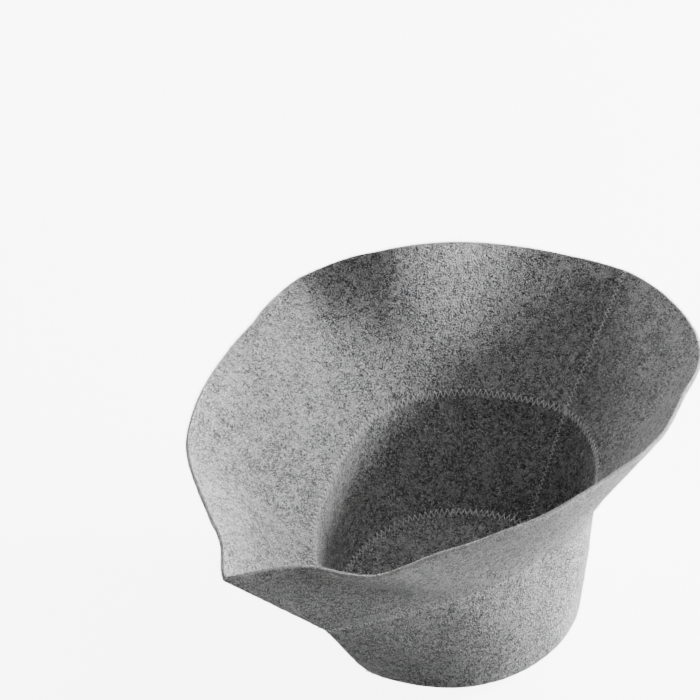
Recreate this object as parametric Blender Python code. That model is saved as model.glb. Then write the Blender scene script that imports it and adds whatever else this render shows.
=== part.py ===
# Felt sauna hat, resting crown down on its round tip with its brim open upwards.
# Metres, +Z up. The origin is the middle of the tip's flat underside.
# Azimuth 0 (+X) is the far side seam, 90 (+Y) the back, 180 (-X) the near side seam, 270 (-Y) the front.
# The felt is cut into a round tip, two halves of a side band and two halves of a brim.
# A section of the hat runs out along the tip, up the side band and on up the brim.

import math
from collections import namedtuple

import bmesh
import bpy
import numpy as np

# Cut sizes of the felt
TIP_LENGTH = 0.153       # seam to seam along X
TIP_WIDTH = 0.146        # seam to seam along Y
CROWN_DEPTH = 0.078      # side band, from the tip seam to the brim seam
BRIM_WIDTH = 0.0945      # brim, from its seam to its cut edge
FELT = 0.0025            # thickness of the felt
SEAM_GAP = 0.0003        # clearance between two pieces at a seam

# How the hat lies
TIP_RISE = 0.0048        # the tip's rim above the flat middle that it rests on
TIP_FLAT = 0.80          # share of the tip's radius that lies flat
CROWN_BULGE = 0.0012     # how far the side band swells near the tip seam

# Fineness of the facets
COLUMNS = 48             # along half of the hat
CROWN_ROWS = 6
BRIM_ROWS = 8
TIP_RINGS = (0.35, 0.60, TIP_FLAT, 0.86, 0.92, 0.96, 1.0)

# Sections of the hat. The angles are in degrees.
#   tip    the tip seam's radius, as a share of the oval's
#   lean   of the side band outwards from the vertical
#   flare  of the brim outwards from the vertical
#   swing  of the brim's direction away from the section's own plane
Section = namedtuple("Section", "azimuth tip lean flare swing")
FAR_SEAM = Section(0.0, 1.020, 30.0, 52.0, 8.0)
NEAR_SEAM = Section(180.0, 1.030, 29.0, 40.0, -22.0)
BACK_SECTIONS = (
    Section(22.5, 0.982, 28.0, 46.5, 8.0),
    Section(45.0, 0.975, 24.5, 38.5, 8.0),
    Section(67.5, 0.970, 17.0, 56.0, 5.0),
    Section(90.0, 0.957, 7.5, 56.0, 1.0),
    Section(112.5, 0.951, 4.0, 52.0, -3.0),
    Section(135.0, 0.963, 6.5, 50.0, -5.0),
    Section(157.5, 0.983, 13.0, 42.5, 1.0),
)
FRONT_SECTIONS = (
    Section(202.5, 0.987, 10.5, 46.0, -50.0),
    Section(225.0, 0.990, 0.5, 49.0, -56.0),
    Section(247.5, 1.000, -3.5, 41.5, -66.0),
    Section(270.0, 1.017, -4.5, 33.5, -61.0),
    Section(292.5, 1.035, 1.0, 27.5, -52.0),
    Section(315.0, 1.037, 6.5, 30.0, -18.0),
    Section(337.5, 1.034, 16.5, 42.0, -8.0),
)

# Dents and creases of the brim, pressed outwards where the depth is positive.
#   reach   degrees to either side that the dent takes
#   start   share of the brim's width, from its seam, where the dent begins
#   depth   at the cut edge, as a share of the brim's width
#   form    a sharp crease or a round wave
Dent = namedtuple("Dent", "azimuth reach start depth form")
BRIM_DENTS = (
    Dent(0.0, 12.0, 0.20, 0.025, "crease"),
    Dent(67.5, 18.75, 0.15, 0.070, "crease"),
    Dent(116.25, 18.75, 0.20, 0.018, "wave"),
    Dent(146.25, 15.0, 0.30, -0.012, "wave"),
    Dent(168.75, 11.25, 0.30, -0.022, "wave"),
    Dent(326.25, 18.75, 0.30, 0.014, "wave"),
    Dent(360.0, 12.0, 0.20, 0.025, "crease"),
)

UP = np.array((0.0, 0.0, 1.0))
FELT_GREY = (0.262, 0.262, 0.266, 1.0)
FELT_ROUGHNESS = 0.95
SMOOTH_BELOW = math.radians(38)
MITRE_SOFTNESS = 0.01    # keeps the mitre of a very sharp fold finite


def radial(azimuth):
    """Horizontal unit vectors at azimuths in degrees."""
    turn = np.radians(azimuth)
    return np.stack((np.cos(turn), np.sin(turn), np.zeros_like(turn)), axis=-1)


def tilted(direction, angle):
    """Unit vectors that stand at angles in degrees from the vertical, towards a horizontal direction."""
    turn = np.radians(angle)[..., None]
    return np.sin(turn) * direction + np.cos(turn) * UP


def unit(vectors):
    return vectors / np.linalg.norm(vectors, axis=-1, keepdims=True)


def smooth_through(knots, values, at):
    """Piecewise cubic through the knots, its slopes taken from the neighbouring knots."""
    slope = np.diff(values) / np.diff(knots)
    first = 1.5 * slope[0] - 0.5 * slope[1]
    last = 1.5 * slope[-1] - 0.5 * slope[-2]
    slopes = np.concatenate(((first,), (slope[1:] + slope[:-1]) / 2, (last,)))
    i = np.clip(np.searchsorted(knots, at, side="right") - 1, 0, len(knots) - 2)
    span = knots[i + 1] - knots[i]
    t = (at - knots[i]) / span
    start = (2 * t**3 - 3 * t**2 + 1) * values[i] + (t**3 - 2 * t**2 + t) * span * slopes[i]
    end = (3 * t**2 - 2 * t**3) * values[i + 1] + (t**3 - t**2) * span * slopes[i + 1]
    return start + end


def oval(azimuth):
    """Radius of the tip's oval."""
    turn = np.radians(azimuth)
    return 1 / np.hypot(np.cos(turn) / (TIP_LENGTH / 2), np.sin(turn) / (TIP_WIDTH / 2))


class Half:
    """The seam lines and the cut edge of one half of the hat, from one side seam to the other."""

    def __init__(self, sections):
        knots = np.array([s.azimuth for s in sections])
        self.azimuth = np.linspace(knots[0], knots[-1], COLUMNS + 1)
        tip, lean, flare, swing = (
            smooth_through(knots, np.array([getattr(s, name) for s in sections]), self.azimuth)
            for name in ("tip", "lean", "flare", "swing")
        )
        self.out = radial(self.azimuth)
        self.brim_out = radial(self.azimuth + swing)
        self.tip_line = self.out * (oval(self.azimuth) * tip)[:, None] + UP * (FELT / 2 + TIP_RISE)
        self.crown_line = self.tip_line + CROWN_DEPTH * tilted(self.out, lean)
        self.edge_line = self.crown_line + BRIM_WIDTH * tilted(self.brim_out, flare)

    def side_grid(self):
        """Middle of the side band's felt, which swells a little near the tip."""
        rows = []
        for t in np.linspace(0, 1, CROWN_ROWS + 1):
            swell = CROWN_BULGE * 27 / 4 * t * (1 - t) ** 2
            rows.append(self.tip_line + t * (self.crown_line - self.tip_line) + swell * self.out)
        return np.stack(rows, axis=1)

    def brim_grid(self):
        """Middle of the brim's felt, with its dents and creases."""
        rows = []
        for t in np.linspace(0, 1, BRIM_ROWS + 1):
            push = self.dents(t)[:, None] * self.brim_out
            rows.append(self.crown_line + t * (self.edge_line - self.crown_line) + push)
        return np.stack(rows, axis=1)

    def dents(self, t):
        """How far the dents push the brim outwards, at a share of its width from the seam."""
        total = np.zeros_like(self.azimuth)
        for dent in BRIM_DENTS:
            near = np.clip(1 - np.abs(self.azimuth - dent.azimuth) / dent.reach, 0, 1)
            if dent.form == "wave":
                near = near**2 * (3 - 2 * near)
            along = max(0.0, (t - dent.start) / (1 - dent.start))
            total += dent.depth * BRIM_WIDTH * near * along
        return total


class Piece:
    """One piece of felt: the grid of its middle, column by column, and what leads from it to its two faces."""

    def __init__(self, grid, normals=None):
        self.grid = grid
        if normals is None:
            normals = unit(np.cross(np.gradient(grid, axis=1), np.gradient(grid, axis=0)))
        self.normals = normals
        self.offsets = normals.copy()
        self.pull = np.zeros_like(grid)

    def clear_seam(self, at, inside):
        """Draws a line of the grid back by half of the seam gap, square to the plane of its mitre."""
        square = unit(np.cross(np.gradient(self.grid[at], axis=0), self.offsets[at]))
        side = np.sign(np.sum(square * (self.grid[inside] - self.grid[at]), axis=-1, keepdims=True))
        self.pull[at] += SEAM_GAP / 2 * side * square

    def faces(self):
        """The outer face's points, then the inner face's."""
        middle = self.grid + self.pull
        return middle - FELT / 2 * self.offsets, middle + FELT / 2 * self.offsets


def tip_piece(back, front):
    """The tip, ring by ring, with the columns of the back half and then of the front half."""
    rim = np.concatenate((back.tip_line, front.tip_line[1:]))
    out = np.concatenate((back.out, front.out[1:]))
    radius = np.linalg.norm(rim[:, :2], axis=1, keepdims=True)
    points = []
    normals = []
    for share in TIP_RINGS:
        turned_up = max(0.0, (share - TIP_FLAT) / (1 - TIP_FLAT))
        slope = 2 * TIP_RISE * turned_up / (radius * (1 - TIP_FLAT))
        points.append(out * radius * share + UP * (FELT / 2 + TIP_RISE * turned_up**2))
        normals.append(unit(UP - slope * out))
    return Piece(np.stack(points, axis=1), np.stack(normals, axis=1))


def join(*places):
    """Gives the pieces that meet along a line or at a corner one shared mitre there."""
    normals = [piece.normals[at] for piece, at in places]
    matrix = sum(n[..., :, None] * n[..., None, :] for n in normals) + MITRE_SOFTNESS * np.eye(3)
    shared = np.linalg.solve(matrix, sum(normals)[..., None])[..., 0]
    for piece, at in places:
        piece.offsets[at] = shared


def join_all(tip, side_back, side_front, brim_back, brim_front):
    """Mitres the tip seam, the brim seam and the two side seams, then the corners where they cross."""
    line = slice(None)
    first, last = (0, line), (-1, line)
    low, high = (line, 0), (line, -1)
    join((tip, (slice(0, COLUMNS + 1), -1)), (side_back, low))
    join((tip, (slice(COLUMNS, 2 * COLUMNS + 1), -1)), (side_front, low))
    for side, brim in ((side_back, brim_back), (side_front, brim_front)):
        join((side, high), (brim, low))
    for back, front in ((side_back, side_front), (brim_back, brim_front)):
        join((back, last), (front, first))
        join((back, first), (front, last))
    for back_end, front_end, tip_columns in ((0, -1, (0, -1)), (-1, 0, (COLUMNS,))):
        rims = [(tip, (column, -1)) for column in tip_columns]
        join(*rims, (side_back, (back_end, 0)), (side_front, (front_end, 0)))
        join((side_back, (back_end, -1)), (side_front, (front_end, -1)),
             (brim_back, (back_end, 0)), (brim_front, (front_end, 0)))


def clear_all(tip, sides, brims):
    """Opens the seam gap along every seam."""
    line = slice(None)
    tip.clear_seam((line, -1), (line, -2))
    for piece in (*sides, *brims):
        piece.clear_seam((0, line), (1, line))
        piece.clear_seam((-1, line), (-2, line))
        piece.clear_seam((line, 0), (line, 1))
    for side in sides:
        side.clear_seam((line, -1), (line, -2))


def thicken(bm):
    """Gives a flat sheet in bmesh a second face one unit above it, with every face pointing out."""
    lifted = bmesh.ops.extrude_face_region(bm, geom=bm.faces[:], use_keep_orig=True)["geom"]
    corners = [item for item in lifted if isinstance(item, bmesh.types.BMVert)]
    bmesh.ops.translate(bm, verts=corners, vec=(0, 0, 1))
    bmesh.ops.recalc_face_normals(bm, faces=bm.faces)


def fold_slab(bm, piece):
    """A flat slab with a unit square for each cell of the piece's grid, folded into the piece's place."""
    columns, rows = piece.grid.shape[0] - 1, piece.grid.shape[1] - 1
    bmesh.ops.create_grid(bm, x_segments=rows, y_segments=columns, size=0.5)
    bmesh.ops.translate(bm, verts=bm.verts, vec=(0.5, 0.5, 0))
    bmesh.ops.scale(bm, verts=bm.verts, vec=(rows, columns, 1))
    thicken(bm)
    faces = piece.faces()
    for vert in bm.verts:
        row, column, layer = (round(value) for value in vert.co)
        vert.co = faces[layer][column, row]


def fold_disc(bm, piece):
    """A flat round slab with a ring for each ring of the piece's grid, folded into the piece's place."""
    columns, rings = piece.grid.shape[0] - 1, piece.grid.shape[1]
    bmesh.ops.create_circle(bm, cap_ends=True, segments=columns, radius=1)
    for ring in range(2, rings + 1):
        rim = [edge for edge in bm.edges if edge.is_boundary]
        grown = bmesh.ops.extrude_edge_only(bm, edges=rim)["geom"]
        corners = [item for item in grown if isinstance(item, bmesh.types.BMVert)]
        bmesh.ops.scale(bm, verts=corners, vec=(ring / (ring - 1), ring / (ring - 1), 1))
    thicken(bm)
    faces = piece.faces()
    for vert in bm.verts:
        column = round(math.atan2(vert.co.y, vert.co.x) / math.tau * columns) % columns
        ring = round(math.hypot(vert.co.x, vert.co.y)) - 1
        vert.co = faces[round(vert.co.z)][column, ring]


def felt_material(name):
    material = bpy.data.materials.new(name)
    material.use_nodes = True
    shader = material.node_tree.nodes["Principled BSDF"]
    shader.inputs["Base Color"].default_value = FELT_GREY
    shader.inputs["Roughness"].default_value = FELT_ROUGHNESS
    shader.inputs["Metallic"].default_value = 0.0
    return material


def make_object(name, piece, fold):
    bm = bmesh.new()
    fold(bm, piece)
    mesh = bpy.data.meshes.new(name)
    bm.to_mesh(mesh)
    bm.free()
    mesh.materials.append(felt_material(name + "_felt"))
    mesh.shade_smooth()
    mesh.set_sharp_from_angle(angle=SMOOTH_BELOW)
    bpy.context.scene.collection.objects.link(bpy.data.objects.new(name, mesh))


def main():
    for item in list(bpy.data.objects):
        bpy.data.objects.remove(item, do_unlink=True)
    back = Half((FAR_SEAM, *BACK_SECTIONS, NEAR_SEAM))
    front = Half((NEAR_SEAM, *FRONT_SECTIONS, FAR_SEAM._replace(azimuth=360.0)))
    tip = tip_piece(back, front)
    sides = Piece(back.side_grid()), Piece(front.side_grid())
    brims = Piece(back.brim_grid()), Piece(front.brim_grid())
    join_all(tip, *sides, *brims)
    clear_all(tip, sides, brims)
    make_object("crown_tip", tip, fold_disc)
    make_object("crown_side_back", sides[0], fold_slab)
    make_object("crown_side_front", sides[1], fold_slab)
    make_object("brim_back", brims[0], fold_slab)
    make_object("brim_front", brims[1], fold_slab)


main()
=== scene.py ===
# Grey felt sauna hat lying crown down on a pale floor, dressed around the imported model.
import math
import random
from collections import namedtuple

import bmesh
import bpy
import numpy as np
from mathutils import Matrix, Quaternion, Vector, noise


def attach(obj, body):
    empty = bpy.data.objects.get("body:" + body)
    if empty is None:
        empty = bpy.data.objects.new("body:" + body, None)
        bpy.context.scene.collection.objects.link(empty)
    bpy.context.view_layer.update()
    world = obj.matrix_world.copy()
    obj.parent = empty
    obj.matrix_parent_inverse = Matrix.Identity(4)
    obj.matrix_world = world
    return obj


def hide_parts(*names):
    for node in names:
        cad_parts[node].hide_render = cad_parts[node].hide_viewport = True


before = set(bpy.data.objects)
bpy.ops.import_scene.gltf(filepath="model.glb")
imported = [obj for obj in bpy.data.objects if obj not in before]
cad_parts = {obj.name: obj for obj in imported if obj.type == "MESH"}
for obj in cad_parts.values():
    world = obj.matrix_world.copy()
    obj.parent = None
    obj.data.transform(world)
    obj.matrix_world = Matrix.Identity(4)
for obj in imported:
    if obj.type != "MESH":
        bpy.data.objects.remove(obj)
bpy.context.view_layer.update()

# Cut sizes of the felt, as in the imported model, in metres
TIP_LENGTH = 0.153
TIP_WIDTH = 0.146
CROWN_DEPTH = 0.078
BRIM_WIDTH = 0.0945
FELT = 0.0025
SEAM_GAP = 0.00002       # the stitches pull the edges together
REST_GAP = 0.0001        # between the tip's underside and the floor

# How the hat lies
TIP_RISE = 0.0048
TIP_FLAT = 0.80
CROWN_BULGE = 0.0012

# Sections of the hat. The angles are in degrees.
#   tip    the tip seam's radius, as a share of the oval's
#   lean   of the side band outwards from the vertical
#   flare  of the brim outwards from the vertical
#   swing  of the brim's direction away from the section's own plane
Section = namedtuple("Section", "azimuth tip lean flare swing")
FAR_SEAM = Section(0.0, 1.020, 30.0, 52.0, 8.0)
NEAR_SEAM = Section(180.0, 1.030, 29.0, 40.0, -22.0)
BACK_SECTIONS = (
    Section(22.5, 0.982, 28.0, 46.5, 8.0),
    Section(45.0, 0.975, 24.5, 38.5, 8.0),
    Section(67.5, 0.970, 17.0, 56.0, 5.0),
    Section(90.0, 0.957, 7.5, 56.0, 1.0),
    Section(112.5, 0.951, 4.0, 52.0, -3.0),
    Section(135.0, 0.963, 6.5, 50.0, -5.0),
    Section(157.5, 0.983, 13.0, 42.5, 1.0),
)
FRONT_SECTIONS = (
    Section(202.5, 0.987, 10.5, 46.0, -50.0),
    Section(225.0, 0.990, 0.5, 49.0, -56.0),
    Section(247.5, 1.000, -3.5, 41.5, -66.0),
    Section(270.0, 1.017, -4.5, 33.5, -61.0),
    Section(292.5, 1.035, 1.0, 27.5, -52.0),
    Section(315.0, 1.037, 6.5, 30.0, -18.0),
    Section(337.5, 1.034, 16.5, 42.0, -8.0),
)

# Dents and creases of the brim, pressed outwards where the depth is positive.
#   reach   degrees to either side that the dent takes
#   start   share of the brim's width, from its seam, where the dent begins
#   depth   at the cut edge, as a share of the brim's width
#   form    a sharp crease or a round wave
Dent = namedtuple("Dent", "azimuth reach start depth form")
BRIM_DENTS = (
    Dent(0.0, 12.0, 0.20, 0.025, "crease"),
    Dent(67.5, 18.75, 0.15, 0.070, "crease"),
    Dent(116.25, 18.75, 0.20, 0.018, "wave"),
    Dent(146.25, 15.0, 0.30, -0.012, "wave"),
    Dent(168.75, 11.25, 0.30, -0.022, "wave"),
    Dent(326.25, 18.75, 0.30, 0.014, "wave"),
    Dent(360.0, 12.0, 0.20, 0.025, "crease"),
)

# Fineness of the felt's meshes
COLUMNS = 270
SIDE_ROWS = 46
BRIM_ROWS = 58
TIP_RINGS = 34
EDGE_STEPS = (0.0, 0.0003, 0.0007, 0.0012, 0.0019, 0.0028, 0.0039)
MEAN_TO_TIP = 1.5        # a half's mean length round the hat, in lengths of its tip seam
TIP_HOLE = 0.03          # share of the tip's radius inside the first ring

# The felt near its edges
MITRE_REACH = 0.004      # how far a mitre is felt from its seam
PRESS_REACH = 0.0024     # how far the stitches squeeze the felt from the seam
PRESSED = 0.60           # share of the felt's thickness that is left at the seam
CUT_REACH = 0.0007       # rounding of the scissor-cut edge
CUT_LEFT = 0.55
CREASE_SOFTNESS = 0.03   # rounds the line of a crease, as a share of its reach
MITRE_SOFTNESS = 0.01

# Loose relief of the felt
SLACK_SIZE = 0.045       # soft hollows and swells of the whole sheet
SLACK_DEPTH = 0.0009
SLACK_REACH = 0.012
LUMP_SIZE = 0.0065       # thicker and thinner spots of the needled fleece
LUMP_DEPTH = 0.00016
GRAIN_SIZE = 0.0024
GRAIN_DEPTH = 0.00009
FACE_SEEDS = (7.0, 19.0)
NOISE_SPREAD = 1.6       # brings the noise to about one in its peaks

# Zigzag stitches
ROUND_STITCH = (0.0036, 0.0044)       # pitch and width on the seams round the hat
SIDE_STITCH = (0.0030, 0.0026)        # and on the two side seams
THREAD_RADII = (0.00014, 0.00029)     # on the outside, pulled into the fluff, and on the inside
THREAD_LIFTS = (-0.00024, 0.00024)    # of its middle above the felt, on each face
THREAD_SINK = 0.0004                  # how far a stitch's ends go into the felt
THREAD_BEND = 1.2                     # from its hole to where it lies flat, in radii
THREAD_SHOULDER = 0.5                 # its rise beside the seam and over it, in radii
THREAD_CROWN = 0.4
STITCH_JITTER = 0.00018
STITCH_SEED = 11
ENDS_TWICE = 5                        # stitches sewn twice at each end of a side seam
SEAM_SAMPLES = 500
SEAM_COLUMNS = 14                     # the columns beside a side seam that its stitches reach over

# Sizes of the patterns, in millimetres
STRAND_LENGTH = 2.2
STRAND_WIDTH = 0.62
WANDER_MM = 6.0          # size of the bends of the strands, and how far they push them
WANDER_REACH_MM = 2.5
SPECK_MM = 0.9
TUFT_MM = 3.6
CLOUD_MM = 14.0
THREAD_WEAR_MM = 2.0
FIBRE_KINDS_MM = 1.5

# How the patterns are mixed, as shares of the second of each pair
SPECKS_OVER_STRANDS = 0.4
TUFTS_OVER_SPECKS = 0.72
CLOUDS_OVER_TUFTS = 0.25
PATTERN_ROUGHNESS = 0.6  # of every noise in the felt
FLUFF_DEPTH = 0.0034     # height of the relief of strands and specks in the shading

# Colours, each with the noise value where it is reached. Strands have three values: the noise
# where they start to show, the noise where they show most, and how strongly they show there.
FELT_TONES = ((0.43, "#39393c"), (0.50, "#626264"), (0.57, "#a6a6a6"))
THREAD_TONES = ((0.35, "#d2d2d2"), (0.65, "#fbfbfb"))
FIBRE_TONES = ((0.40, "#5a5a5c"), (0.60, "#dcdbd8"))
PALE_STRAND = "#e4e4e4"
PALE_STRANDS = (0.57, 0.68, 0.90)
DARK_STRAND = "#34353a"
DARK_STRANDS = (0.43, 0.33, 0.60)
# Painted highlight along the brim's scissor-cut edge: a paler colour standing in for light from above on the
# edge strip
CUT_HIGHLIGHT = "#dddcda"
CUT_HIGHLIGHT_SHARE = 0.55      # share of the painted highlight laid along the scissor-cut edge
PALE_TURNS = ((0.3, 0.2, 0.1), (1.1, 0.7, 1.2), (0.5, -0.9, 2.2))
DARK_TURNS = ((0.9, 0.4, 0.7), (0.2, -0.6, 1.7), (1.4, 1.0, 2.8))

# Loose fibres
FIBRE_RADIUS = 0.000035
FIBRE_STEPS = (0.0, 0.35, 0.7, 1.0)
FIBRE_SWAY = 0.5         # the most that its end bends aside, as a share of its length
FIBRE_ARCH = 0.22        # its rise over its root, and the root's depth, as shares of its length
FIBRE_ROOT = 0.03
FIBRE_HALF_WAVE = 0.8    # how much of half a wave it follows
FIBRE_SEED = 23
FRINGE_FIBRES = 4800
FRINGE_LENGTHS = (0.0006, 0.0019)
FRINGE_ROOT = 0.0001
FRINGE_DEPTH = 0.9       # share of the cut edge's thickness that the fringe covers
FRINGE_AIM = 0.98        # share of the brim's width from which the way outwards is taken
FRINGE_SPREAD = 0.8      # how far its fibres turn sideways, and off the felt's own plane
FRINGE_LIFT = 0.35
STRAY_FIBRES = 6000
STRAY_LENGTHS = (0.0015, 0.0042)
STRAY_SHARES = {"crown_tip": 1, "crown_side_back": 2, "crown_side_front": 2, "brim_back": 4, "brim_front": 4}
FLOOR_CLEAR = 0.002      # no stray fibre starts lower on the outside

# The camera's place and aim, worked out from the photograph's perspective
CAMERA_PLACE = (-0.8714, -0.6704, 1.1475)
CAMERA_TARGET = (-0.0058, 0.0698, 0.1714)
CAMERA_ROLL = -2.05
CAMERA_LENS = 132.7

# Square soft boxes that look at the hat from an azimuth and a height above the floor, in degrees
HAT_MIDDLE = (0.0, 0.0, 0.08)
LIGHT_DISTANCE = 2.0
Light = namedtuple("Light", "name azimuth height size power")
LIGHTS = (
    Light("key_right", -33.0, 20, 0.35, 80),
    Light("low_right", -12.0, 2, 0.25, 150),
    Light("low_front_right", -52.0, 5, 1.0, 84),
    Light("left_behind", 82.0, 14, 1.0, 37),
    Light("above", -30.0, 60, 1.0, 13),
)
SURROUNDINGS = 0.13

# The floor, which gives off light of its own
FLOOR_REACH = 3.0
FLOOR_GLOW = 7.0

UP = np.array((0.0, 0.0, 1.0))
FACES = "outside", "inside"
SMOOTH_BELOW = math.radians(50)
LINE = slice(None)       # the whole of a sheet's side


def radial(azimuth):
    """Horizontal unit vectors at azimuths in degrees."""
    turn = np.radians(azimuth)
    return np.stack((np.cos(turn), np.sin(turn), np.zeros_like(turn)), axis=-1)


def tilted(direction, angle):
    """Unit vectors at angles in degrees from the vertical, towards a horizontal direction."""
    turn = np.radians(angle)[..., None]
    return np.sin(turn) * direction + np.cos(turn) * UP


def unit(vectors):
    """The vectors at length one."""
    return vectors / np.linalg.norm(vectors, axis=-1, keepdims=True)


def ease(value):
    """From 0 to 1 with level ends."""
    value = np.clip(value, 0, 1)
    return value * value * (3 - 2 * value)


def smooth_through(knots, values, at):
    """Piecewise cubic through the knots, its slopes taken from the neighbouring knots."""
    slope = np.diff(values) / np.diff(knots)
    first = 1.5 * slope[0] - 0.5 * slope[1]
    last = 1.5 * slope[-1] - 0.5 * slope[-2]
    slopes = np.concatenate(((first,), (slope[1:] + slope[:-1]) / 2, (last,)))
    i = np.clip(np.searchsorted(knots, at, side="right") - 1, 0, len(knots) - 2)
    span = knots[i + 1] - knots[i]
    t = (at - knots[i]) / span
    start = (2 * t**3 - 3 * t**2 + 1) * values[i] + (t**3 - 2 * t**2 + t) * span * slopes[i]
    end = (3 * t**2 - 2 * t**3) * values[i + 1] + (t**3 - t**2) * span * slopes[i + 1]
    return start + end


def oval(azimuth):
    """Radius of the tip's oval."""
    turn = np.radians(azimuth)
    return 1 / np.hypot(np.cos(turn) / (TIP_LENGTH / 2), np.sin(turn) / (TIP_WIDTH / 2))


def graded(count, length):
    """Shares of a length, closer near its ends, where they stop half a seam gap inside."""
    near = (SEAM_GAP / 2 + np.array(EDGE_STEPS)) / length
    far = 1 - near[::-1]
    return np.concatenate((near[:-1], np.linspace(near[-1], far[0], count), far[1:]))


class Half:
    """The seam lines and the cut edge of one half of the hat, from one side seam to the other."""

    def __init__(self, sections):
        knots = np.array([s.azimuth for s in sections])
        mean_length = math.pi * TIP_LENGTH / 2 * MEAN_TO_TIP
        self.share = graded(COLUMNS, mean_length)
        self.azimuth = knots[0] + (knots[-1] - knots[0]) * self.share
        tip, lean, flare, swing = (
            smooth_through(knots, np.array([getattr(s, name) for s in sections]), self.azimuth)
            for name in ("tip", "lean", "flare", "swing")
        )
        self.out = radial(self.azimuth)
        self.brim_out = radial(self.azimuth + swing)
        self.tip_line = self.out * (oval(self.azimuth) * tip)[:, None] + UP * (FELT / 2 + TIP_RISE)
        self.crown_line = self.tip_line + CROWN_DEPTH * tilted(self.out, lean)
        self.edge_line = self.crown_line + BRIM_WIDTH * tilted(self.brim_out, flare)

    def side_grid(self, shares):
        """Middle of the side band's felt, which swells most at a third of the way from the tip."""
        rows = []
        for t in shares:
            swell = CROWN_BULGE * 27 / 4 * t * (1 - t) ** 2
            rows.append(self.tip_line + t * (self.crown_line - self.tip_line) + swell * self.out)
        return np.stack(rows, axis=1)

    def brim_grid(self, shares):
        """Middle of the brim's felt, with its dents and creases."""
        rows = []
        for t in shares:
            push = self.dents(t)[:, None] * self.brim_out
            rows.append(self.crown_line + t * (self.edge_line - self.crown_line) + push)
        return np.stack(rows, axis=1)

    def dents(self, t):
        """How far the dents push the brim outwards, at a share of its width from the seam."""
        total = np.zeros_like(self.azimuth)
        for dent in BRIM_DENTS:
            away = np.abs(self.azimuth - dent.azimuth) / dent.reach
            if dent.form == "wave":
                near = ease(1 - away)
            else:
                near = np.clip(1 - np.hypot(away, CREASE_SOFTNESS), 0, 1) * ease((1 - away) * 3)
            along = max(0.0, (t - dent.start) / (1 - dent.start))
            total += dent.depth * BRIM_WIDTH * near * along
        return total


class Sheet:
    """One piece of felt as a grid of its middle, column by column, from which its two faces are worked out.

    Its sides are first and last, along the side seams, and low and high, towards tip and brim.
    """

    def __init__(self, grid, across, along, seams, closed=False):
        self.grid = grid
        self.across = across
        self.along = along
        self.seams = seams
        self.closed = closed
        self.normals = self.find_normals(grid)
        self.mitres = {}

    def find_normals(self, grid):
        """Unit normals of a grid, towards the inside of the hat."""
        if self.closed:
            ring = np.concatenate((grid[-1:], grid, grid[:1]))
            round_way = np.gradient(ring, axis=0)[1:-1]
        else:
            round_way = np.gradient(grid, axis=0)
        return unit(np.cross(np.gradient(grid, axis=1), round_way))

    def distances(self):
        """Distance of each point from each side of the grid, along the felt."""
        steps = np.linalg.norm(np.diff(self.grid, axis=1), axis=2)
        from_low = np.concatenate((np.zeros((len(self.grid), 1)), np.cumsum(steps, axis=1)), axis=1)
        steps = np.linalg.norm(np.diff(self.grid, axis=0), axis=2)
        from_first = np.concatenate((np.zeros((1, self.grid.shape[1])), np.cumsum(steps, axis=0)))
        return {
            "low": from_low, "high": from_low[:, -1:] - from_low,
            "first": from_first, "last": from_first[-1:] - from_first,
        }

    def settle(self):
        """Works out both faces: mitres, slack, lumps, squeezed seams and the rounded cut edge."""
        away = self.distances()
        from_seam = np.min([away[name] for name in self.seams], axis=0)
        slack = SLACK_DEPTH * bumps(self.grid, SLACK_SIZE, 0.0) * ease(from_seam / SLACK_REACH)
        self.grid = self.grid + slack[..., None] * self.normals
        offsets = self.normals + self.mitre_field(away)
        thickness = PRESSED + (1 - PRESSED) * ease(from_seam / PRESS_REACH)
        self.cut = np.zeros(self.grid.shape[:2])
        if "high" not in self.seams:
            self.cut = np.clip(1 - away["high"] / CUT_REACH, 0, 1)
            thickness = thickness * (CUT_LEFT + (1 - CUT_LEFT) * np.sqrt(1 - self.cut**2))
        self.faces = []
        for side, seed in zip((-1, 1), FACE_SEEDS):
            lumps = LUMP_DEPTH * bumps(self.grid, LUMP_SIZE, seed)
            lumps = lumps + GRAIN_DEPTH * bumps(self.grid, GRAIN_SIZE, seed)
            half = FELT / 2 * thickness + lumps * thickness
            self.faces.append(self.grid + side * half[..., None] * offsets)
        self.face_normals = [-self.find_normals(self.faces[0]), self.find_normals(self.faces[1])]

    def mitre_field(self, away):
        """What the mitres add to the normals, which fades away from the seams."""
        field = np.zeros_like(self.grid)
        weight = {name: 1 - ease(away[name] / MITRE_REACH) for name in self.mitres}
        extra = {name: vectors - self.side_of(self.normals, name) for name, vectors in self.mitres.items()}
        for name in self.mitres:
            line = extra[name][:, None] if name in ("low", "high") else extra[name][None]
            field += weight[name][..., None] * line
        for row, at in (("low", 0), ("high", -1)):
            for column, end in (("first", 0), ("last", -1)):
                if row in weight and column in weight:
                    both = weight[row] * weight[column]
                    field -= both[..., None] * extra[row][end]
        return field

    @staticmethod
    def side_of(values, name):
        """The values along one side of the grid."""
        return {"low": values[:, 0], "high": values[:, -1], "first": values[0], "last": values[-1]}[name]

    def place(self, face, across, along):
        """Point and outward normal on a face, between the grid's own points."""
        i = int(np.clip(np.searchsorted(self.across, across) - 1, 0, len(self.across) - 2))
        j = int(np.clip(np.searchsorted(self.along, along) - 1, 0, len(self.along) - 2))
        a = float(np.clip((across - self.across[i]) / (self.across[i + 1] - self.across[i]), 0, 1))
        b = float(np.clip((along - self.along[j]) / (self.along[j + 1] - self.along[j]), 0, 1))
        found = []
        for values in (self.faces[face], self.face_normals[face]):
            low = values[i, j] * (1 - a) + values[i + 1, j] * a
            high = values[i, j + 1] * (1 - a) + values[i + 1, j + 1] * a
            found.append(low * (1 - b) + high * b)
        return Vector(found[0]), Vector(found[1]).normalized()


def bumps(grid, size, seed):
    """Smooth noise from -1 to 1 at the grid's points, with hills of about the given size."""
    flat = grid.reshape(-1, 3) / size + seed
    values = [noise.noise(Vector(point)) for point in flat]
    return np.array(values).reshape(grid.shape[:-1]) * NOISE_SPREAD


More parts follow.
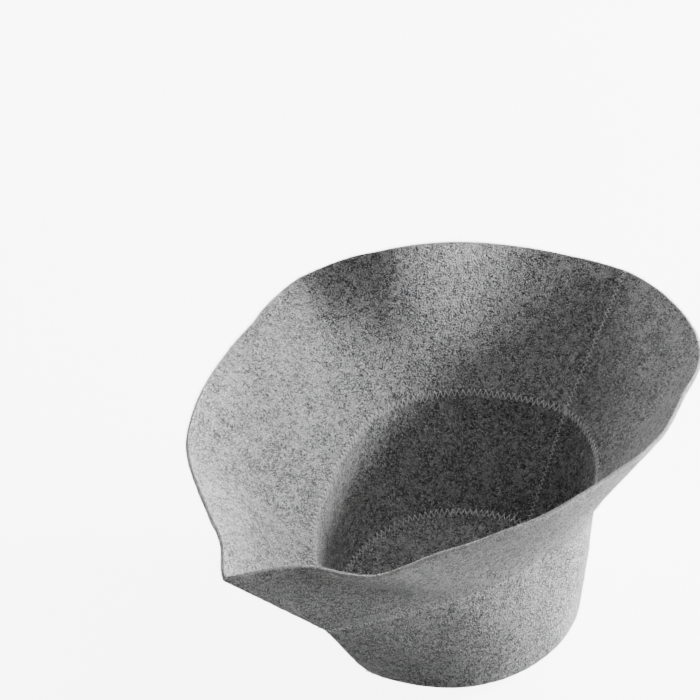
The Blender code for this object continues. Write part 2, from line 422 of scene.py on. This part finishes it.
def join(*places):
    """Gives the sheets that meet one shared mitre, along a seam or at a corner.

    Each place is a sheet, the name of its side, and a stretch or a point of that side.
    """
    normals = [Sheet.side_of(sheet.normals, name)[part] for sheet, name, part in places]
    matrix = sum(n[..., :, None] * n[..., None, :] for n in normals) + MITRE_SOFTNESS * np.eye(3)
    shared = np.linalg.solve(matrix, sum(normals)[..., None])[..., 0]
    for sheet, name, part in places:
        line = sheet.mitres.setdefault(name, Sheet.side_of(sheet.normals, name).copy())
        line[part] = shared


def cut_sheets():
    """The five sheets of felt, with their mitres."""
    back = Half((FAR_SEAM, *BACK_SECTIONS, NEAR_SEAM))
    front = Half((NEAR_SEAM, *FRONT_SECTIONS, FAR_SEAM._replace(azimuth=360.0)))
    side_rows = graded(SIDE_ROWS, CROWN_DEPTH)
    brim_rows = graded(BRIM_ROWS, BRIM_WIDTH)
    all_seams = ("low", "high", "first", "last")
    sheets = {"crown_tip": cut_tip(back, front)}
    for name, half in (("back", back), ("front", front)):
        sheets["crown_side_" + name] = Sheet(half.side_grid(side_rows), half.share, side_rows, all_seams)
        brim_grid = half.brim_grid(brim_rows)
        sheets["brim_" + name] = Sheet(brim_grid, half.share, brim_rows, ("low", "first", "last"))
    mitre_sheets(sheets, len(back.share))
    for sheet in sheets.values():
        sheet.settle()
    tip = sheets["crown_tip"]
    tip.faces[0][..., 2] = np.maximum(tip.faces[0][..., 2], REST_GAP)
    return sheets


def cut_tip(back, front):
    """The tip, ring by ring, with the columns of the back half and then of the front half."""
    rim = np.concatenate((back.tip_line, front.tip_line))
    out = np.concatenate((back.out, front.out))
    radius = np.linalg.norm(rim[:, :2], axis=1, keepdims=True)
    outer = graded(TIP_RINGS, TIP_LENGTH / 2)[len(EDGE_STEPS) + 1:]
    inner = np.linspace(TIP_HOLE, outer[0], 3)[:-1]
    rings = np.concatenate((inner, outer))
    rows = []
    for share in rings:
        turned_up = max(0.0, (share - TIP_FLAT) / (1 - TIP_FLAT))
        rows.append(out * radius * share + UP * (FELT / 2 + TIP_RISE * turned_up**2))
    across = np.concatenate((back.share, front.share + 1))
    return Sheet(np.stack(rows, axis=1), across, rings, ("high",), closed=True)


def mitre_sheets(sheets, columns):
    """Mitres every seam, and then the corners where the seams cross."""
    tip = sheets["crown_tip"]
    halves = {name: (sheets["crown_side_" + name], sheets["brim_" + name]) for name in ("back", "front")}
    for name, part in (("back", slice(0, columns)), ("front", slice(columns, 2 * columns))):
        side, brim = halves[name]
        join((tip, "high", part), (side, "low", LINE))
        join((side, "high", LINE), (brim, "low", LINE))
    for back, front in zip(halves["back"], halves["front"]):
        join((back, "last", LINE), (front, "first", LINE))
        join((back, "first", LINE), (front, "last", LINE))
    corners = (("first", 0, "last", -1), ("last", -1, "first", 0))
    for back_name, back_end, front_name, front_end in corners:
        side_back, brim_back = halves["back"]
        side_front, brim_front = halves["front"]
        join(
            (side_back, "high", back_end), (side_back, back_name, -1),
            (side_front, "high", front_end), (side_front, front_name, -1),
            (brim_back, "low", back_end), (brim_back, back_name, 0),
            (brim_front, "low", front_end), (brim_front, front_name, 0),
        )
        join(
            (side_back, "low", back_end), (side_back, back_name, 0),
            (side_front, "low", front_end), (side_front, front_name, 0),
            (tip, "high", back_end if back_end == 0 else columns - 1),
            (tip, "high", columns if front_end == 0 else -1),
        )


def thicken(bm):
    """Gives a flat sheet in bmesh a second face one unit above it, with every face pointing out."""
    lifted = bmesh.ops.extrude_face_region(bm, geom=bm.faces[:], use_keep_orig=True)["geom"]
    corners = [item for item in lifted if isinstance(item, bmesh.types.BMVert)]
    bmesh.ops.translate(bm, verts=corners, vec=(0, 0, 1))
    bmesh.ops.recalc_face_normals(bm, faces=bm.faces)


def fold_slab(bm, sheet):
    """A flat slab with a unit square for each cell of the sheet's grid, folded into the sheet's place."""
    columns, rows = sheet.grid.shape[0] - 1, sheet.grid.shape[1] - 1
    bmesh.ops.create_grid(bm, x_segments=rows, y_segments=columns, size=0.5)
    bmesh.ops.translate(bm, verts=bm.verts, vec=(0.5, 0.5, 0))
    bmesh.ops.scale(bm, verts=bm.verts, vec=(rows, columns, 1))
    thicken(bm)
    cut = bm.verts.layers.float.new("cut")
    for vert in bm.verts:
        row, column, layer = (round(value) for value in vert.co)
        vert[cut] = sheet.cut[column, row]
        vert.co = sheet.faces[layer][column, row]


def fold_disc(bm, sheet):
    """A flat round slab with a ring for each ring of the sheet's grid, folded into the sheet's place."""
    columns, rings = sheet.grid.shape[:2]
    bmesh.ops.create_circle(bm, cap_ends=True, segments=columns, radius=1)
    for ring in range(2, rings + 1):
        rim = [edge for edge in bm.edges if edge.is_boundary]
        grown = bmesh.ops.extrude_edge_only(bm, edges=rim)["geom"]
        corners = [item for item in grown if isinstance(item, bmesh.types.BMVert)]
        bmesh.ops.scale(bm, verts=corners, vec=(ring / (ring - 1), ring / (ring - 1), 1))
    thicken(bm)
    for vert in bm.verts:
        column = round(math.atan2(vert.co.y, vert.co.x) / math.tau * columns) % columns
        ring = round(math.hypot(vert.co.x, vert.co.y)) - 1
        vert.co = sheet.faces[round(vert.co.z)][column, ring]


def add_piece(name, mesh, material):
    """Shows a mesh as a smooth-shaded piece of the hat, at the origin."""
    mesh.materials.clear()
    mesh.materials.append(material)
    mesh.shade_smooth()
    piece = bpy.data.objects.new(name, mesh)
    bpy.context.scene.collection.objects.link(piece)
    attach(piece, "root")
    return piece


def add_felt(sheets, material):
    """The five pieces of felt, each in the place of its node."""
    for node, sheet in sheets.items():
        bm = bmesh.new()
        fold = fold_disc if sheet.closed else fold_slab
        fold(bm, sheet)
        mesh = bpy.data.meshes.new("felt_" + node)
        bm.to_mesh(mesh)
        bm.free()
        piece = add_piece("felt_" + node, mesh, material)
        mesh.set_sharp_from_angle(angle=SMOOTH_BELOW)
        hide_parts(node)


def tubes(name, paths, radius, sides, material):
    """Joined round tubes along short open paths."""
    curve = bpy.data.curves.new(name, "CURVE")
    curve.dimensions = "3D"
    curve.bevel_depth = radius
    curve.bevel_resolution = sides
    curve.use_fill_caps = True
    for path in paths:
        spline = curve.splines.new("POLY")
        spline.points.add(len(path) - 1)
        for point, place in zip(spline.points, path):
            point.co = (*place, 1)
    holder = bpy.data.objects.new(name + "_path", curve)
    mesh = bpy.data.meshes.new_from_object(holder)
    bpy.data.objects.remove(holder)
    bpy.data.curves.remove(curve)
    mesh.name = name
    add_piece(name, mesh, material)


class Seam:
    """A seam between two sheets: each side is (sheet, name of its side, start and end along it)."""

    def __init__(self, first, second):
        self.sides = first, second

    def place(self, which, face, share, inside):
        """Point and normal on a face, at a share of the seam and a distance inside one of its sheets."""
        sheet, name, start, end = self.sides[which]
        run = start + (end - start) * share
        if name in ("low", "high"):
            i = int(np.clip(np.searchsorted(sheet.across, run), 0, len(sheet.across) - 1))
            column = sheet.grid[i]
            height = np.linalg.norm(np.diff(column, axis=0), axis=1).sum()
            step = inside / height * (sheet.along[-1] - sheet.along[0])
            along = sheet.along[0] + step if name == "low" else sheet.along[-1] - step
            return sheet.place(face, run, along)
        j = int(np.clip(np.searchsorted(sheet.along, run), 0, len(sheet.along) - 1))
        row = sheet.grid[:, j]
        beside = slice(0, SEAM_COLUMNS) if name == "first" else slice(-SEAM_COLUMNS, None)
        width = np.linalg.norm(np.diff(row[beside], axis=0), axis=1).sum()
        shares = sheet.across[beside]
        step = inside / width * (shares[-1] - shares[0])
        across = shares[0] + step if name == "first" else shares[-1] - step
        return sheet.place(face, across, run)

    def middle(self, face, share):
        """Point and normal on the seam's own line."""
        (a, normal_a), (b, normal_b) = (self.place(which, face, share, 0.0) for which in (0, 1))
        return (a + b) / 2, (normal_a + normal_b).normalized()

    def stops(self, face, pitch):
        """Shares of the seam half a pitch apart along the felt."""
        shares = np.linspace(0, 1, SEAM_SAMPLES)
        points = np.array([self.middle(face, share)[0] for share in shares])
        length = np.concatenate(((0,), np.cumsum(np.linalg.norm(np.diff(points, axis=0), axis=1))))
        count = round(length[-1] / pitch * 2)
        return np.interp(np.linspace(0, length[-1], count + 1), length, shares)


def zigzag(seam, face, size, draw):
    """The stitches of a seam on one face, each a short path from hole to hole across the seam."""
    pitch, width = size
    holes = []
    for number, share in enumerate(seam.stops(face, pitch)):
        reach = width / 2 + draw.gauss(0, STITCH_JITTER)
        place, normal = seam.place(number % 2, face, share, reach)
        slip = Vector(draw.gauss(0, STITCH_JITTER / 2) for _ in range(3))
        holes.append((place + slip, normal, share))
    return [stitch(seam, face, start, end) for start, end in zip(holes, holes[1:])]


def stitch(seam, face, first, last):
    """One stitch from hole to hole, which arches over the seam and never dips below a straight line."""
    (start, start_normal, start_share), (end, end_normal, end_share) = first, last
    lift = THREAD_LIFTS[face]
    radius = THREAD_RADII[face]
    middle, normal = seam.middle(face, (start_share + end_share) / 2)
    top = [start + start_normal * lift, end + end_normal * lift]
    straight = (top[0] + top[1]) / 2
    over = middle + normal * lift
    if (straight - over).dot(normal) > 0:
        over = straight
    inward = (end - start).normalized() * radius * THREAD_BEND
    return [
        start - start_normal * THREAD_SINK,
        top[0] + inward,
        (top[0] + over) / 2 + normal * radius * THREAD_SHOULDER,
        over + normal * radius * THREAD_CROWN,
        (top[1] + over) / 2 + normal * radius * THREAD_SHOULDER,
        top[1] - inward,
        end - end_normal * THREAD_SINK,
    ]


def secured(paths, draw):
    """The stitches sewn twice at both ends of a side seam, where the machine went back and forth."""
    again = []
    for path in (*paths[:ENDS_TWICE], *paths[-ENDS_TWICE:]):
        slip = Vector(draw.gauss(0, STITCH_JITTER * 2) for _ in range(3))
        again.append([point + slip for point in path])
    return paths + again


def find_seams(sheets):
    """The seams by name, in the two stretches that each is sewn in."""
    tip = sheets["crown_tip"]
    side_back, side_front = sheets["crown_side_back"], sheets["crown_side_front"]
    brim_back, brim_front = sheets["brim_back"], sheets["brim_front"]
    return {
        "tip": (Seam((tip, "high", 0, 1), (side_back, "low", 0, 1)),
                Seam((tip, "high", 1, 2), (side_front, "low", 0, 1))),
        "brim": (Seam((side_back, "high", 0, 1), (brim_back, "low", 0, 1)),
                 Seam((side_front, "high", 0, 1), (brim_front, "low", 0, 1))),
        "near": (Seam((side_back, "last", 0, 1), (side_front, "first", 0, 1)),
                 Seam((brim_back, "last", 0, 1), (brim_front, "first", 0, 1))),
        "far": (Seam((side_back, "first", 0, 1), (side_front, "last", 0, 1)),
                Seam((brim_back, "first", 0, 1), (brim_front, "last", 0, 1))),
    }


def add_stitches(sheets, material):
    """Zigzag stitches along every seam, on both faces of the felt."""
    draw = random.Random(STITCH_SEED)
    for name, seams in find_seams(sheets).items():
        size = ROUND_STITCH if name in ("tip", "brim") else SIDE_STITCH
        for face, label in enumerate(FACES):
            paths = []
            for seam in seams:
                stitches = zigzag(seam, face, size, draw)
                paths += secured(stitches, draw) if size == SIDE_STITCH else stitches
            tubes(f"stitches_{name}_{label}", paths, THREAD_RADII[face], 1, material)


def fibre(place, direction, normal, lengths, draw):
    """A short bent fibre that leaves the felt and lies back towards it, within a range of lengths."""
    length = draw.uniform(*lengths)
    side = direction.cross(normal) * draw.uniform(-FIBRE_SWAY, FIBRE_SWAY)
    points = []
    for step in FIBRE_STEPS:
        rise = math.sin(step * math.pi * FIBRE_HALF_WAVE) * FIBRE_ARCH - FIBRE_ROOT
        points.append(place + length * (direction * step + side * step**2 + normal * rise))
    return points


def fringe_fibre(brims, draw):
    """One fibre that stands out of the brim's cut edge."""
    sheet = draw.choice(brims)
    across = draw.random()
    face = draw.randrange(2)
    place, normal = sheet.place(face, across, 1.0)
    inner, _ = sheet.place(face, across, FRINGE_AIM)
    outwards = (place - inner).normalized()
    other, _ = sheet.place(1 - face, across, 1.0)
    place = place.lerp(other, draw.random() * FRINGE_DEPTH)
    spin = outwards.cross(normal) * draw.gauss(0, FRINGE_SPREAD)
    direction = (outwards + spin + normal * draw.gauss(0, FRINGE_LIFT)).normalized()
    return fibre(place - direction * FRINGE_ROOT, direction, normal, FRINGE_LENGTHS, draw)


def stray_fibres(sheets, face, draw):
    """Single fibres that lie on one face of the felt, in all directions."""
    weights = [STRAY_SHARES[name] for name in sheets]
    paths = []
    for _ in range(STRAY_FIBRES):
        sheet = draw.choices(list(sheets.values()), weights)[0]
        across = draw.uniform(sheet.across[0], sheet.across[-1])
        along = draw.uniform(sheet.along[0], sheet.along[-1])
        place, normal = sheet.place(face, across, along)
        if face == 0 and place.z < FLOOR_CLEAR:
            continue
        turn = draw.uniform(0, math.tau)
        flat = normal.orthogonal().normalized()
        direction = flat * math.cos(turn) + normal.cross(flat) * math.sin(turn)
        paths.append(fibre(place, direction, normal, STRAY_LENGTHS, draw))
    return paths


def add_fibres(sheets, material):
    """Loose fibres: a fringe along the brim's cut edge, and strays on both faces."""
    draw = random.Random(FIBRE_SEED)
    brims = [sheets["brim_back"], sheets["brim_front"]]
    fringe = [fringe_fibre(brims, draw) for _ in range(FRINGE_FIBRES)]
    tubes("fibres_edge", fringe, FIBRE_RADIUS, 0, material)
    for face, label in enumerate(FACES):
        tubes("fibres_" + label, stray_fibres(sheets, face, draw), FIBRE_RADIUS, 0, material)


def linear(colour):
    """The linear value of an sRGB hex colour."""
    parts = [int(colour[i:i + 2], 16) / 255 for i in (1, 3, 5)]
    return (*(c / 12.92 if c <= 0.04045 else ((c + 0.055) / 1.055) ** 2.4 for c in parts), 1.0)


def add_node(tree, kind, settings=None, inputs=None):
    """Adds a node with its settings, and fills its inputs with values or links."""
    node = tree.nodes.new(kind)
    for key, value in (settings or {}).items():
        setattr(node, key, value)
    for key, value in (inputs or {}).items():
        if isinstance(value, bpy.types.NodeSocket):
            tree.links.new(value, node.inputs[key])
        else:
            node.inputs[key].default_value = value
    return node


def new_material(name):
    """A material with its node tree and its shader."""
    material = bpy.data.materials.new(name)
    material.use_nodes = True
    tree = material.node_tree
    return material, tree, tree.nodes["Principled BSDF"]


def scale_of(size_mm):
    """Texture scale whose cells are about this many millimetres."""
    return 1000 / size_mm


def grain(tree, place, size_mm, detail=1.0):
    """Round specks and clouds of about the given size."""
    inputs = {"Vector": place, "Scale": scale_of(size_mm), "Detail": detail, "Roughness": PATTERN_ROUGHNESS}
    return add_node(tree, "ShaderNodeTexNoise", None, inputs).outputs["Fac"]


def mottle(tree, size_mm, detail):
    """Soft change of tone over a piece that is too thin to show a pattern."""
    place = add_node(tree, "ShaderNodeTexCoord").outputs["Object"]
    inputs = {"Vector": place, "Scale": scale_of(size_mm), "Detail": detail}
    return add_node(tree, "ShaderNodeTexNoise", None, inputs).outputs["Fac"]


def strands(tree, place, turn):
    """Specks drawn out into short strokes along a direction given as a rotation."""
    cell = (STRAND_LENGTH / 1000, STRAND_WIDTH / 1000, STRAND_WIDTH / 1000)
    drawn = add_node(tree, "ShaderNodeMapping", {"vector_type": "TEXTURE"},
                     {"Vector": place, "Rotation": turn, "Scale": cell})
    inputs = {"Vector": drawn.outputs[0], "Scale": 1.0, "Detail": 1.0, "Roughness": PATTERN_ROUGHNESS}
    return add_node(tree, "ShaderNodeTexNoise", None, inputs).outputs["Fac"]


def toned(tree, value, tones):
    """The colour for a value, from rows of value and colour."""
    ramp = add_node(tree, "ShaderNodeValToRGB", None, {"Fac": value})
    stops = ramp.color_ramp.elements
    for stop, (position, colour) in zip((stops[0], stops[1]), (tones[0], tones[-1])):
        stop.position = position
        stop.color = linear(colour)
    for position, colour in tones[1:-1]:
        stops.new(position).color = linear(colour)
    return ramp.outputs["Color"]


def blend(tree, first, second, share):
    """Mixes two values, with the share of the second."""
    return add_node(tree, "ShaderNodeMix", {"data_type": "FLOAT"},
                    {"Factor": share, 2: first, 3: second}).outputs[0]


def overlaid(tree, under, colour, strokes, show):
    """Lays strokes of a colour over another, where their noise passes from none to full."""
    none, full, strength = show
    seen = add_node(tree, "ShaderNodeMapRange", {"interpolation_type": "SMOOTHSTEP"},
                    {"Value": strokes, "From Min": none, "From Max": full,
                     "To Min": 0.0, "To Max": strength})
    return add_node(tree, "ShaderNodeMix", {"data_type": "RGBA"},
                    {"Factor": seen.outputs[0], 6: under, 7: linear(colour)}).outputs[2]


def furthest(tree, operation, values):
    """The largest or smallest of several values."""
    result = values[0]
    for value in values[1:]:
        result = add_node(tree, "ShaderNodeMath", {"operation": operation}, {0: result, 1: value}).outputs[0]
    return result


def wandering(tree, place):
    """Pushes the pattern's place about, so that straight strokes bend."""
    inputs = {"Vector": place, "Scale": scale_of(WANDER_MM), "Detail": 1.0}
    drift = add_node(tree, "ShaderNodeTexNoise", None, inputs)
    centred = add_node(tree, "ShaderNodeVectorMath", {"operation": "SUBTRACT"},
                       {0: drift.outputs["Color"], 1: (0.5, 0.5, 0.5)})
    pushed = add_node(tree, "ShaderNodeVectorMath", {"operation": "SCALE"},
                      {0: centred.outputs[0], "Scale": WANDER_REACH_MM / 1000})
    moved = add_node(tree, "ShaderNodeVectorMath", {"operation": "ADD"}, {0: place, 1: pushed.outputs[0]})
    return moved.outputs[0]


def felt_wool_blend():
    """Needle-punched felt of dark grey and off-white wool and polyester fibres.

    Real fibres are finer than a pixel, so the strokes are as thick as the strands they bunch into.
    """
    material, tree, shader = new_material("felt_wool_blend")
    place = add_node(tree, "ShaderNodeTexCoord").outputs["Object"]
    bent = wandering(tree, place)
    pale = furthest(tree, "MAXIMUM", [strands(tree, bent, turn) for turn in PALE_TURNS])
    dark = furthest(tree, "MINIMUM", [strands(tree, bent, turn) for turn in DARK_TURNS])
    specks = grain(tree, bent, SPECK_MM)
    fine = blend(tree, blend(tree, pale, dark, 0.5), specks, SPECKS_OVER_STRANDS)
    tufts = blend(tree, specks, grain(tree, bent, TUFT_MM, 2.0), TUFTS_OVER_SPECKS)
    shade = blend(tree, tufts, grain(tree, place, CLOUD_MM, 2.0), CLOUDS_OVER_TUFTS)
    greyed = overlaid(tree, toned(tree, shade, FELT_TONES), DARK_STRAND, dark, DARK_STRANDS)
    haired = overlaid(tree, greyed, PALE_STRAND, pale, PALE_STRANDS)
    # Painted highlight: the scissor-cut edge is painted paler all along it, in place of light from above
    cut = add_node(tree, "ShaderNodeAttribute", {"attribute_name": "cut"}).outputs["Fac"]
    painted_highlight = add_node(tree, "ShaderNodeMath", {"operation": "MULTIPLY"}, {0: cut, 1: CUT_HIGHLIGHT_SHARE})
    colour = add_node(tree, "ShaderNodeMix", {"data_type": "RGBA"},
                      {"Factor": painted_highlight.outputs[0], 6: haired, 7: linear(CUT_HIGHLIGHT)})
    tree.links.new(colour.outputs[2], shader.inputs["Base Color"])
    bump = add_node(tree, "ShaderNodeBump", None, {"Height": fine, "Strength": 1.0, "Distance": FLUFF_DEPTH})
    tree.links.new(bump.outputs["Normal"], shader.inputs["Normal"])
    shader.inputs["Roughness"].default_value = 0.95
    shader.inputs["Specular IOR Level"].default_value = 0.15
    shader.inputs["Sheen Weight"].default_value = 0.25
    shader.inputs["Sheen Roughness"].default_value = 0.5
    return material


def thread_polyester():
    """Spun polyester sewing thread, off-white and less matt than the felt."""
    material, tree, shader = new_material("thread_polyester")
    wear = mottle(tree, THREAD_WEAR_MM, 2.0)
    tree.links.new(toned(tree, wear, THREAD_TONES), shader.inputs["Base Color"])
    shader.inputs["Roughness"].default_value = 0.6
    return material


def fibre_wool():
    """Single fibres pulled out of the felt, from grey to off-white."""
    material, tree, shader = new_material("fibre_wool")
    kinds = mottle(tree, FIBRE_KINDS_MM, 1.0)
    tree.links.new(toned(tree, kinds, FIBRE_TONES), shader.inputs["Base Color"])
    shader.inputs["Roughness"].default_value = 0.8
    return material


def floor_paper():
    """White seamless background, lit on its own until it is nearly blank."""
    material, tree, shader = new_material("floor_paper")
    shader.inputs["Base Color"].default_value = linear("#fafafa")
    shader.inputs["Roughness"].default_value = 0.9
    shader.inputs["Emission Color"].default_value = linear("#ffffff")
    shader.inputs["Emission Strength"].default_value = FLOOR_GLOW
    return material


def add_floor():
    """The floor, which glows but is hidden from diffuse rays, so that it doesn't light the hat."""
    bm = bmesh.new()
    bmesh.ops.create_grid(bm, x_segments=8, y_segments=8, size=FLOOR_REACH)
    mesh = bpy.data.meshes.new("floor")
    bm.to_mesh(mesh)
    bm.free()
    mesh.materials.append(floor_paper())
    floor = bpy.data.objects.new("floor", mesh)
    bpy.context.scene.collection.objects.link(floor)
    floor.visible_diffuse = False


def aim(holder, target):
    """Turns a camera or a light towards a point."""
    way = Vector(target) - holder.location
    holder.rotation_mode = "QUATERNION"
    holder.rotation_quaternion = way.to_track_quat("-Z", "Y")


def add_light(row):
    """One soft box from its row."""
    light = bpy.data.lights.new(row.name, "AREA")
    light.shape = "SQUARE"
    light.size = row.size
    light.energy = row.power
    way = tilted(radial(np.array(row.azimuth)), np.array(90.0 - row.height))
    holder = bpy.data.objects.new(row.name, light)
    holder.location = Vector(HAT_MIDDLE) + Vector(way) * LIGHT_DISTANCE
    aim(holder, HAT_MIDDLE)
    bpy.context.scene.collection.objects.link(holder)


def add_lights():
    """The soft boxes, and faint even light from all round."""
    for row in LIGHTS:
        add_light(row)
    world = bpy.data.worlds.new("surroundings")
    world.use_nodes = True
    background = world.node_tree.nodes["Background"]
    background.inputs["Color"].default_value = (1, 1, 1, 1)
    background.inputs["Strength"].default_value = SURROUNDINGS
    bpy.context.scene.world = world


def add_camera():
    """The camera at the photograph's place, with its lens and its slight roll."""
    data = bpy.data.cameras.new("camera")
    data.sensor_width = 36
    data.lens = CAMERA_LENS
    holder = bpy.data.objects.new("camera", data)
    holder.location = CAMERA_PLACE
    aim(holder, CAMERA_TARGET)
    holder.rotation_quaternion @= Quaternion((0, 0, 1), math.radians(CAMERA_ROLL))
    bpy.context.scene.collection.objects.link(holder)
    bpy.context.scene.camera = holder


add_camera()
sheets = cut_sheets()
add_felt(sheets, felt_wool_blend())
add_stitches(sheets, thread_polyester())
add_fibres(sheets, fibre_wool())
add_floor()
add_lights()
